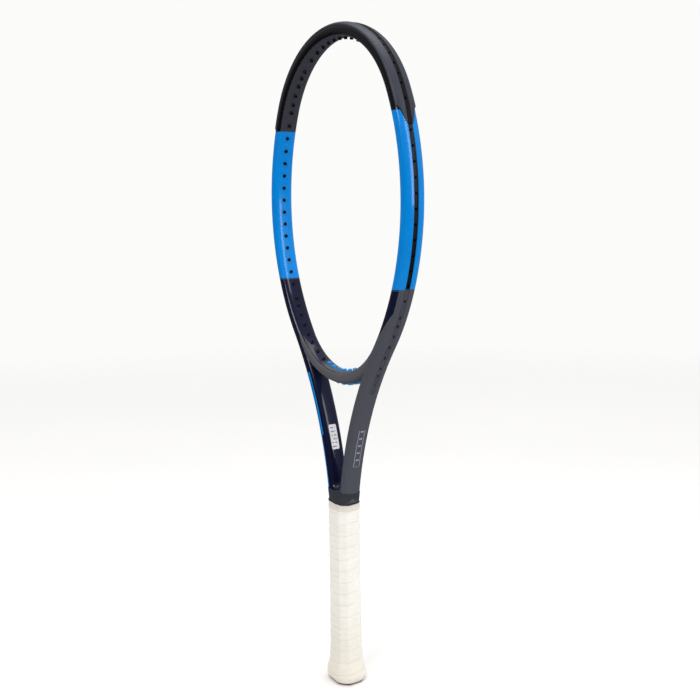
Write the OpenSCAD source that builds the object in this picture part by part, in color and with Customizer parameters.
// Tennis racket, unstrung, standing on its butt cap.
// Origin at the middle of the butt's flat face, +Z along the handle towards the head,
// X across the string bed, Y square to the string bed. All sizes in millimetres.

/* [Head] */
// Overall length from the butt face to the top of the bumper guard
total_length = 685.8; // [675:0.1:695]
// Radius of the middle line over the top of the head
crown_radius = 112.9; // [112:0.1:114]
// Radius of the middle line down the sides of the head
side_radius = 236; // [234:0.5:238]
// Heading where the crown runs into the side, measured clockwise from +X at the top
crown_heading = 64.7; // [64:0.1:66]
// Heading where the bridge and the shaft part
split_heading = 126.05; // [125.5:0.05:126.5]

/* [Beam] */
// Half of the beam's thickness in the plane of the string bed
beam_half_width = 6.2; // [5.8:0.1:6.6]
// Half of the beam's depth around the head
head_half_depth = 11.5; // [11:0.1:12]
// Half of the beam's depth along the shafts
shaft_half_depth = 10.6; // [10.2:0.1:11]
// Half of the bridge's thickness
bridge_half_width = 6.3; // [6:0.1:6.5]
// Half of the bridge's depth
bridge_half_depth = 9.9; // [9.5:0.1:10.2]
// Wall of the moulded tube
tube_wall = 1.5; // [1.2:0.1:1.8]

/* [Strings] */
// Width of the groove that the grommet strips lie in
groove_width = 5.4; // [5:0.1:6]
// Depth of that groove
groove_depth = 1.3; // [1:0.1:1.5]
// Outer radius of a grommet tube
tube_radius = 1.8; // [1.6:0.1:2]
// Outer radius of the larger tubes in the bridge
throat_tube_radius = 2.3; // [2.1:0.1:2.4]
// Radius of the hole that a string passes through
string_hole_radius = 1.1; // [1:0.05:1.3]
// How far a grommet tube stands out inside the head
tube_stand_out = 1.8; // [1.5:0.1:2.5]
// Distance between neighbouring rows of holes down the sides
row_pitch = 13.65; // [13.5:0.05:13.8]

/* [Bumper guard] */
// Thickness of the bumper guard over the crown
bumper_wall = 1.4; // [1.2:0.1:1.6]
// Height above the butt where the bumper guard ends
bumper_end_z = 592; // [588:1:596]

/* [Handle] */
// Height of the top end of the wrapped handle
handle_top_z = 199.5; // [195:0.5:201]
// Thickness of the base grip
base_grip_wall = 1.7; // [1.5:0.1:2]
// Thickness of the overgrip
overgrip_wall = 0.6; // [0.5:0.1:0.8]
// Height of the collar's upper edge
collar_top_z = 212.5; // [211:0.5:213.5]

/* [Hidden] */
$fn = 64;
sweep_facets = 360;                       // facets to a full turn of the large arcs
cut = 1;                                  // how far a cutting tool runs past a face
superellipse_power = 2.6;
section_steps = 16;

// The sides are this much slimmer than the crown, so that the two arcs lap cleanly where they meet
seam_step = 0.03;
seam_lap = 0.4;
side_half_width = beam_half_width - seam_step;
side_half_depth = head_half_depth - seam_step;
side_groove_width = groove_width + 2 * seam_step;
side_floor = side_half_width - groove_depth;

crown_z = total_length - bumper_wall - beam_half_width;
crown_centre = [0, crown_z - crown_radius];
side_centre = arc_point(crown_centre, crown_radius, crown_heading)
    - side_radius * normal(crown_heading);
split = arc_point(side_centre, side_radius, split_heading);
bridge_radius = split.x / sin(split_heading);
bridge_centre = split - bridge_radius * normal(split_heading);
leg_x = 7.66;                             // where the shaft's arc would turn upright
shaft_radius = (split.x - leg_x) / (1 - sin(split_heading));
shaft_centre = split + shaft_radius * normal(split_heading);

bumper_heading = heading_at_height(bumper_end_z);
groove_end_z = 326.5;
groove_end_heading = shaft_heading_at_height(groove_end_z);
shaft_end_z = handle_top_z + 1;           // the full shaft section stops here
shaft_end_heading = shaft_heading_at_height(shaft_end_z - 14);
bridge_start_heading = split_heading + 4.5;

// Places of the string holes, right half
main_pitch = 10.6;                        // the four middle strings run straight up the head
main_x = [for (i = [0:1]) (i + 0.5) * main_pitch];
crown_hole_x = [28.4, 40.8, 54, 69.5, 76.8, 84.6, 92, 98];
row_top_z = 613;
bumper_rows = 2;
side_rows = 15;
lower_hole_z = [406, 398, 388, 377];
junction_headings = [131.5, 138.5, 147.5];
throat_outer_x = 27.2;
throat_end_x = 39.2;

// The handle's outer surface as [height, half width, half depth, bevel]
handle_levels = [[0, 17.4, 15, 7.7], [2, 19.6, 17.1, 8.7], [6, 21.2, 18.6, 9.4],
    [9, 21.2, 18.6, 9.4], [15, 20.1, 17.6, 8.9], [24, 17.9, 15.4, 7.7], [40, 17, 14.4, 7.1],
    [110, 16.4, 13.8, 6.7], [handle_top_z + 3, 16.2, 13.6, 6.6]];
bevel_inset = 2 - sqrt(2);                // how much a bevel shrinks for each millimetre inwards
wrap_wall = base_grip_wall + overgrip_wall;
leg_centre_x = 6.5;
leg_half_width = 5;
leg_half_depth = 8.6;
leg_wall = 1.4;
pallet_start_z = 6;
cap_floor = 4;
cap_top_z = 30;
cap_pocket = [13.2, 10.8, 5];             // half width, half depth and bevel of the pocket
door_skirt_radius = 9.2;
door_face_radius = 10.8;
door_gap = 0.3;
door_face_wall = 1.3;
plug_length = 20;
web_floor_z = 214;
web_radius = 9.6;
tape_height = 6;
tape_wall = 0.25;
grip_start_z = 1.2;
staple_face_y = 13;
tail_staple_y = 16.3;

// ---- the head's middle line ----

// Outward normal at a heading
function normal(h) = [sin(h), cos(h)];

function arc_point(centre, radius, h) = centre + radius * normal(h);

function heading_at_height(z) = acos((z - side_centre.y) / side_radius);

function heading_at_x(x) = asin(x / crown_radius);

function shaft_heading_at_height(z) = acos((shaft_centre.y - z) / shaft_radius);

function bridge_heading_at_x(x) = 180 - asin(x / bridge_radius);

// Distance from a point along a direction to the near side of a circle
function reach(p, d, c, r) = let(q = p - c, b = q * d, k = q * q - r * r) -b - sqrt(b * b - k);

// ---- outlines ----

function superellipse(a, b) = let(n = 2 / superellipse_power, k = pow(cos(180 / section_steps), n))
    [for (i = [0:section_steps - 1]) let(t = 360 * (i + 0.5) / section_steps)
        [a * sign(cos(t)) * pow(abs(cos(t)), n) / k, b * sign(sin(t)) * pow(abs(sin(t)), n) / k]];

function octagon(a, b, c) = [[a, b - c], [a - c, b], [c - a, b], [-a, b - c],
    [-a, c - b], [c - a, -b], [a - c, -b], [a, c - b]];

module beam_outline(half_width, half_depth) {
    polygon(superellipse(half_width, half_depth));
}

module groove_outline(half_width, width) {
    translate([half_width - groove_depth, -width / 2])
        square([groove_depth + cut, width]);
}

module grooved_outline(half_width, half_depth, width) {
    difference() {
        beam_outline(half_width, half_depth);
        groove_outline(half_width, width);
    }
}

// The hollow inside the tube, kept one wall away from the groove
module hollow_outline(half_width, half_depth, wall) {
    intersection() {
        beam_outline(half_width - wall, half_depth - wall);
        translate([-half_width, -half_depth])
            square([2 * half_width - groove_depth - wall, 2 * half_depth]);
    }
}

// ---- sweeps: an outline's x points away from the middle of the head, its y is depth ----

module sweep_arc(centre, radius, h_from, h_to) {
    translate([centre.x, 0, centre.y])
        rotate([90, 0, 0])
            rotate([0, 0, 90 - h_to])
                rotate_extrude(angle = h_to - h_from, $fn = sweep_facets)
                    translate([radius, 0])
                        children();
}

// The shaft bends the other way, so its centre lies outside the racket
module sweep_shaft(h_from, h_to) {
    translate([shaft_centre.x, 0, shaft_centre.y])
        rotate([90, 0, 0])
            rotate([0, 0, 270 - h_from])
                rotate_extrude(angle = h_from - h_to, $fn = sweep_facets)
                    translate([shaft_radius, 0])
                        mirror([1, 0])
                            children();
}

module both_sides() {
    children();
    mirror([1, 0, 0]) children();
}

module crown_sweep() {
    both_sides()
        sweep_arc(crown_centre, crown_radius, -crown_heading, 0)
            children();
}

// A rod in the plane of the face that starts at p and runs inwards against heading h
module rod(p, h, from, to, radius) {
    translate([p.x, 0, p.y])
        rotate([0, h + 180, 0])
            translate([0, 0, from])
                cylinder(r = radius, h = to - from, $fn = 32);
}

// ---- string holes: every rod starts at the groove's floor ----

floor_offset = beam_half_width - groove_depth;
through = beam_half_width + floor_offset;

module crown_rods(from, beyond, radius) {
    for (x = main_x)
        let(h = heading_at_x(x), p = arc_point(crown_centre, crown_radius, h))
            rod(p + [0, floor_offset], 0, from, through + beyond, radius);
    for (x = crown_hole_x)
        let(h = heading_at_x(x))
            rod(arc_point(crown_centre, crown_radius + floor_offset, h), h, from, through + beyond,
                radius);
    for (i = [0:bumper_rows - 1])
        side_rod(row_top_z - i * row_pitch, from, beyond, radius);
}

module side_rod(z, from, beyond, radius) {
    h = heading_at_height(z);
    rod(arc_point(side_centre, side_radius + floor_offset, h), h, from, through + beyond, radius);
}

module side_rods(from, beyond, radius) {
    for (i = [bumper_rows:side_rows - 1])
        side_rod(row_top_z - i * row_pitch, from, beyond, radius);
    for (z = lower_hole_z)
        side_rod(z, from, beyond, radius);
    for (h = junction_headings)
        junction_rod(h, from, beyond, radius);
}

// A rod square to the bridge's arc that also crosses the shaft beside it
module junction_rod(h, from, beyond, radius) {
    p = arc_point(bridge_centre, bridge_radius, h);
    depth = reach(p, normal(h), shaft_centre, shaft_radius - floor_offset);
    rod(p + depth * normal(h), h, from, depth + bridge_half_width + beyond, radius);
}

module throat_rod(x, h, from, beyond, radius) {
    p = arc_point(bridge_centre, bridge_radius, bridge_heading_at_x(x));
    floor_at = bridge_half_width - groove_depth;
    rod(p + floor_at * normal(h), h, from, floor_at + bridge_half_width + beyond, radius);
}

module throat_rods(from, beyond, radius) {
    for (x = main_x)
        throat_rod(x, 180, from, beyond, radius);
    throat_rod(throat_outer_x, bridge_heading_at_x(throat_outer_x), from, beyond, radius);
}

module throat_end_rod(from, beyond, radius) {
    throat_rod(throat_end_x, bridge_heading_at_x(throat_end_x), from, beyond, radius);
}

// ---- frame ----

module shaft_outer() {
    difference() {
        sweep_shaft(split_heading, shaft_end_heading)
            beam_outline(side_half_width, shaft_half_depth);
        sweep_shaft(split_heading + 1, groove_end_heading)
            groove_outline(side_half_width, side_groove_width);
        translate([-30, -20, shaft_end_z - 60])
            cube([80, 40, 60]);
    }
}

module leg_bar(half_width, half_depth, z_from, z_to) {
    translate([leg_centre_x, 0, z_from])
        linear_extrude(z_to - z_from)
            beam_outline(half_width, half_depth);
}

// The solid web that closes the fork between the shafts, with a round valley on top
module fork_web() {
    web_half_width = 9;
    difference() {
        translate([-web_half_width, 1 - bridge_half_depth, shaft_end_z])
            cube([2 * web_half_width, 2 * (bridge_half_depth - 1), web_floor_z + 6 - shaft_end_z]);
        translate([0, 0, web_floor_z + web_radius])
            rotate([90, 0, 0])
                cylinder(r = web_radius, h = 40, center = true);
    }
}

module hairpin_half() {
    sweep_arc(side_centre, side_radius, crown_heading - seam_lap, split_heading)
        grooved_outline(side_half_width, side_half_depth, side_groove_width);
    shaft_outer();
    leg_bar(leg_half_width, leg_half_depth, pallet_start_z, shaft_end_z + 4);
}

module hairpin_half_hollow() {
    sweep_arc(side_centre, side_radius, crown_heading - seam_lap, split_heading)
        hollow_outline(side_half_width, side_half_depth, tube_wall);
    sweep_shaft(split_heading, shaft_heading_at_height(shaft_end_z + 3))
        hollow_outline(side_half_width, shaft_half_depth, tube_wall);
    leg_bar(leg_half_width - leg_wall, leg_half_depth - leg_wall, pallet_start_z - cut,
        shaft_end_z + 6);
}

module hairpin_frame() {
    color("#30323a")
        difference() {
            union() {
                crown_sweep() grooved_outline(beam_half_width, head_half_depth, groove_width);
                both_sides() hairpin_half();
                fork_web();
            }
            crown_sweep() hollow_outline(beam_half_width, head_half_depth, tube_wall);
            both_sides() {
                hairpin_half_hollow();
                crown_rods(-5, 5, tube_radius);
                side_rods(-5, 5, tube_radius);
            }
        }
}

module bridge_sweep() {
    sweep_arc(bridge_centre, bridge_radius, bridge_start_heading, 360 - bridge_start_heading)
        children();
}

module throat_bridge() {
    color("#5c5c62")
        difference() {
            bridge_sweep()
                difference() {
                    grooved_outline(bridge_half_width, bridge_half_depth, groove_width);
                    hollow_outline(bridge_half_width, bridge_half_depth, tube_wall);
                }
            both_sides() {
                bridge_clearance();
                throat_rods(-5, 5, throat_tube_radius);
                throat_end_rod(-5, 5, tube_radius);
                for (h = junction_headings) junction_rod(h, -5, 5, tube_radius);
            }
        }
}

// The space that the frame's own wall takes at the bridge's ends
module bridge_clearance() {
    sweep_arc(side_centre, side_radius, split_heading - 15, split_heading)
        beam_outline(side_half_width, side_half_depth);
    sweep_shaft(split_heading, groove_end_heading)
        beam_outline(side_half_width, shaft_half_depth);
}

module bridge_core() {
    color("#e8e0c8")
        difference() {
            bridge_sweep() hollow_outline(bridge_half_width, bridge_half_depth, tube_wall);
            both_sides() {
                bridge_clearance();
                throat_rods(-5, 5, throat_tube_radius);
                throat_end_rod(-5, 5, tube_radius);
                for (h = junction_headings) junction_rod(h, -5, 5, tube_radius);
            }
        }
}

// ---- guards and grommets ----

module bumper_outline() {
    lip = 3.2;                            // how far the guard reaches round the beam's edge
    difference() {
        intersection() {
            beam_outline(beam_half_width + bumper_wall, head_half_depth + 0.9);
            translate([lip, -head_half_depth - 2])
                square([10, 2 * head_half_depth + 4]);
        }
        grooved_outline(beam_half_width, head_half_depth, groove_width);
        translate([beam_half_width + bumper_wall - 1.2, -1.6])
            square([3, 3.2]);
    }
}

module bumper_sweep() {
    crown_sweep() bumper_outline();
    both_sides()
        sweep_arc([-side_centre.x, side_centre.y], side_radius, -bumper_heading, -crown_heading)
            bumper_outline();
}

module bumper_guard() {
    color("#3f4048")
        difference() {
            union() {
                bumper_sweep();
                both_sides() crown_rods(0, tube_stand_out, tube_radius);
            }
            both_sides() crown_rods(-5, 5, string_hole_radius);
        }
}

module strip_outline() {
    translate([side_floor, -side_groove_width / 2])
        square([groove_depth - 0.2, side_groove_width]);
}

module side_grommet_strip() {
    difference() {
        union() {
            sweep_arc(side_centre, side_radius, bumper_heading, split_heading) strip_outline();
            sweep_shaft(split_heading, groove_end_heading) strip_outline();
            side_rods(0, tube_stand_out, tube_radius);
        }
        side_rods(-5, 5, string_hole_radius);
    }
}

module right_grommet_strip() {
    color("#1c1d20") side_grommet_strip();
}

module left_grommet_strip() {
    color("#1c1d20") mirror([1, 0, 0]) side_grommet_strip();
}

module throat_grommet_strip() {
    end_heading = bridge_heading_at_x(throat_outer_x + 4.5);
    strip_wall = 2.4;
    color("#1492e6")
        difference() {
            union() {
                sweep_arc(bridge_centre, bridge_radius, end_heading, 360 - end_heading)
                    translate([bridge_half_width - groove_depth, -groove_width / 2])
                        square([strip_wall, groove_width]);
                both_sides() throat_rods(0, tube_stand_out + 1, throat_tube_radius);
            }
            both_sides() throat_rods(-5, 6, string_hole_radius);
        }
}

// One short black grommet at each end of the bridge
module bridge_end_grommets() {
    h = bridge_heading_at_x(throat_end_x);
    plate_reach = 2.4;                    // degrees of the bridge's arc on each side of the hole
    fit = 0.02;                           // how much slimmer the tube is than its hole
    color("#1c1d20")
        both_sides()
            difference() {
                union() {
                    sweep_arc(bridge_centre, bridge_radius, h - plate_reach, h + plate_reach)
                        translate([bridge_half_width - groove_depth, -groove_width / 2])
                            square([groove_depth, groove_width]);
                    throat_end_rod(0, tube_stand_out, tube_radius - fit);
                }
                throat_end_rod(-5, 5, string_hole_radius);
            }
}

// ---- handle ----

module loft(rings, heights) {
    sides = len(rings[0]);
    last = len(rings) - 1;
    polyhedron(
        points = [for (i = [0:last]) for (p = rings[i]) [p.x, p.y, heights[i]]],
        faces = concat(
            [[for (j = [0:sides - 1]) j]],
            [[for (j = [sides - 1:-1:0]) last * sides + j]],
            [for (i = [0:last - 1]) for (j = [0:sides - 1]) let(k = (j + 1) % sides)
                [i * sides + j, (i + 1) * sides + j, (i + 1) * sides + k]],
            [for (i = [0:last - 1]) for (j = [0:sides - 1]) let(k = (j + 1) % sides)
                [i * sides + j, (i + 1) * sides + k, i * sides + k]]));
}

// The handle's outer surface moved inwards by depth
module handle_body(depth) {
    loft([for (l = handle_levels) octagon(l[1] - depth, l[2] - depth, l[3] - bevel_inset * depth)],
        [for (l = handle_levels) l[0]]);
}

module slab(z_from, z_to) {
    translate([-30, -30, z_from])
        cube([60, 60, z_to - z_from]);
}

module handle_sleeve(outer_depth, inner_depth, z_from, z_to) {
    difference() {
        intersection() {
            handle_body(outer_depth);
            slab(z_from, z_to);
        }
        handle_body(inner_depth);
    }
}

module cap_pocket_prism(z_from, z_to) {
    translate([0, 0, z_from])
        linear_extrude(z_to - z_from)
            polygon(octagon(cap_pocket[0], cap_pocket[1], cap_pocket[2]));
}

module staple(width, wire, leg_length) {
    translate([-width / 2, 0, 0])
        cube([width, wire, wire]);
    for (side = [-1, 1])
        translate([side * (width - wire) / 2 - wire / 2, wire, 0])
            cube([wire, leg_length, wire]);
}

// Two staples on each broad face, their legs pressed through the cap into the foam
module cap_staples() {
    staple_z = 24;
    for (turn = [0, 180])
        rotate([0, 0, turn])
            for (side = [-1, 1])
                translate([side * 5.6, -staple_face_y, staple_z])
                    staple(8, 0.7, 3.3);
}

// The staple that pins the start of the base grip
module tail_staple() {
    translate([0, -tail_staple_y, 17])
        staple(8, 0.6, 4.6);
}

module handle_pallet() {
    color("#d9c9a0")
        difference() {
            union() {
                cap_pocket_prism(pallet_start_z, cap_top_z);
                intersection() {
                    handle_body(wrap_wall);
                    slab(cap_top_z, shaft_end_z);
                }
            }
            both_sides()
                leg_bar(leg_half_width, leg_half_depth, pallet_start_z - cut, shaft_end_z + cut);
            cap_staples();
            tail_staple();
        }
}

module leg_plugs() {
    color("#c8c0b0")
        both_sides()
            leg_bar(leg_half_width - leg_wall, leg_half_depth - leg_wall, pallet_start_z,
                pallet_start_z + plug_length);
}

module butt_cap() {
    color("#a3202a")
        difference() {
            intersection() {
                handle_body(wrap_wall);
                slab(0, cap_top_z);
            }
            cap_pocket_prism(cap_floor, cap_top_z + cut);
            translate([0, 0, -cut])
                cylinder(r = door_skirt_radius + door_gap, h = cap_floor + 2 * cut);
            translate([0, 0, -cut])
                cylinder(r = door_face_radius + door_gap, h = door_gap + door_face_wall + 0.1 + cut);
            cap_staples();
            tail_staple();
        }
}

module trap_door() {
    skirt_wall = 1.4;
    skirt_top_z = 5.2;
    color("#8c1a22")
        difference() {
            union() {
                translate([0, 0, door_gap])
                    cylinder(r = door_face_radius, h = door_face_wall);
                translate([0, 0, door_gap])
                    cylinder(r = door_skirt_radius, h = skirt_top_z - door_gap);
            }
            translate([0, 0, door_gap + door_face_wall])
                cylinder(r = door_skirt_radius - skirt_wall, h = skirt_top_z);
            translate([door_face_radius - 1.2, -2, -cut])
                cube([3, 4, door_gap + door_face_wall + 2 * cut]);
        }
}

module butt_cap_staples() {
    color("#b8bcc2") cap_staples();
}

module grip_staple() {
    color("#b8bcc2") tail_staple();
}

module base_grip() {
    color("#17181b")
        difference() {
            union() {
                handle_sleeve(overgrip_wall, wrap_wall, grip_start_z, handle_top_z - 2 * tape_height);
                handle_sleeve(overgrip_wall + tape_wall, wrap_wall, handle_top_z - 2 * tape_height,
                    handle_top_z - tape_height);
            }
            tail_staple();
            cap_staples();
        }
}

module base_grip_tape() {
    color("#202226")
        handle_sleeve(overgrip_wall, overgrip_wall + tape_wall, handle_top_z - 2 * tape_height,
            handle_top_z - tape_height);
}

module overgrip() {
    color("#efece2")
        union() {
            handle_sleeve(0, overgrip_wall, grip_start_z, handle_top_z - tape_height);
            handle_sleeve(tape_wall, wrap_wall, handle_top_z - tape_height, handle_top_z);
        }
}

module overgrip_tape() {
    color("#e4e1d8")
        handle_sleeve(0, tape_wall, handle_top_z - tape_height, handle_top_z);
}

module grip_collar() {
    rings = [[17.5, 13.4, 4.6], [17.8, 11.9, 4], [19.1, 11.4, 3.8]];
    heights = [handle_top_z, handle_top_z + 4.5, collar_top_z];
    color("#2c2e35")
        difference() {
            loft([for (r = rings) octagon(r[0], r[1], r[2])], heights);
            both_sides() shaft_outer();
            fork_web();
            slab_of_pallet();
        }
}

// The pallet's own top end, which the collar stands around
module slab_of_pallet() {
    intersection() {
        handle_body(wrap_wall);
        slab(handle_top_z - cut, shaft_end_z);
    }
}

// A small label on the inner face of the left shaft
module label_sticker() {
    label_z = [251, 276];
    label_half_depth = 4.5;
    label_wall = 0.15;
    color("#dcdce0")
        mirror([1, 0, 0])
            sweep_shaft(shaft_heading_at_height(label_z[1]), shaft_heading_at_height(label_z[0]))
                translate([-beam_half_width - label_wall, -label_half_depth])
                    square([label_wall, 2 * label_half_depth]);
}

hairpin_frame();
throat_bridge();
bridge_core();
bumper_guard();
left_grommet_strip();
right_grommet_strip();
throat_grommet_strip();
bridge_end_grommets();
handle_pallet();
leg_plugs();
butt_cap();
trap_door();
butt_cap_staples();
base_grip();
grip_staple();
base_grip_tape();
overgrip();
overgrip_tape();
grip_collar();
label_sticker();
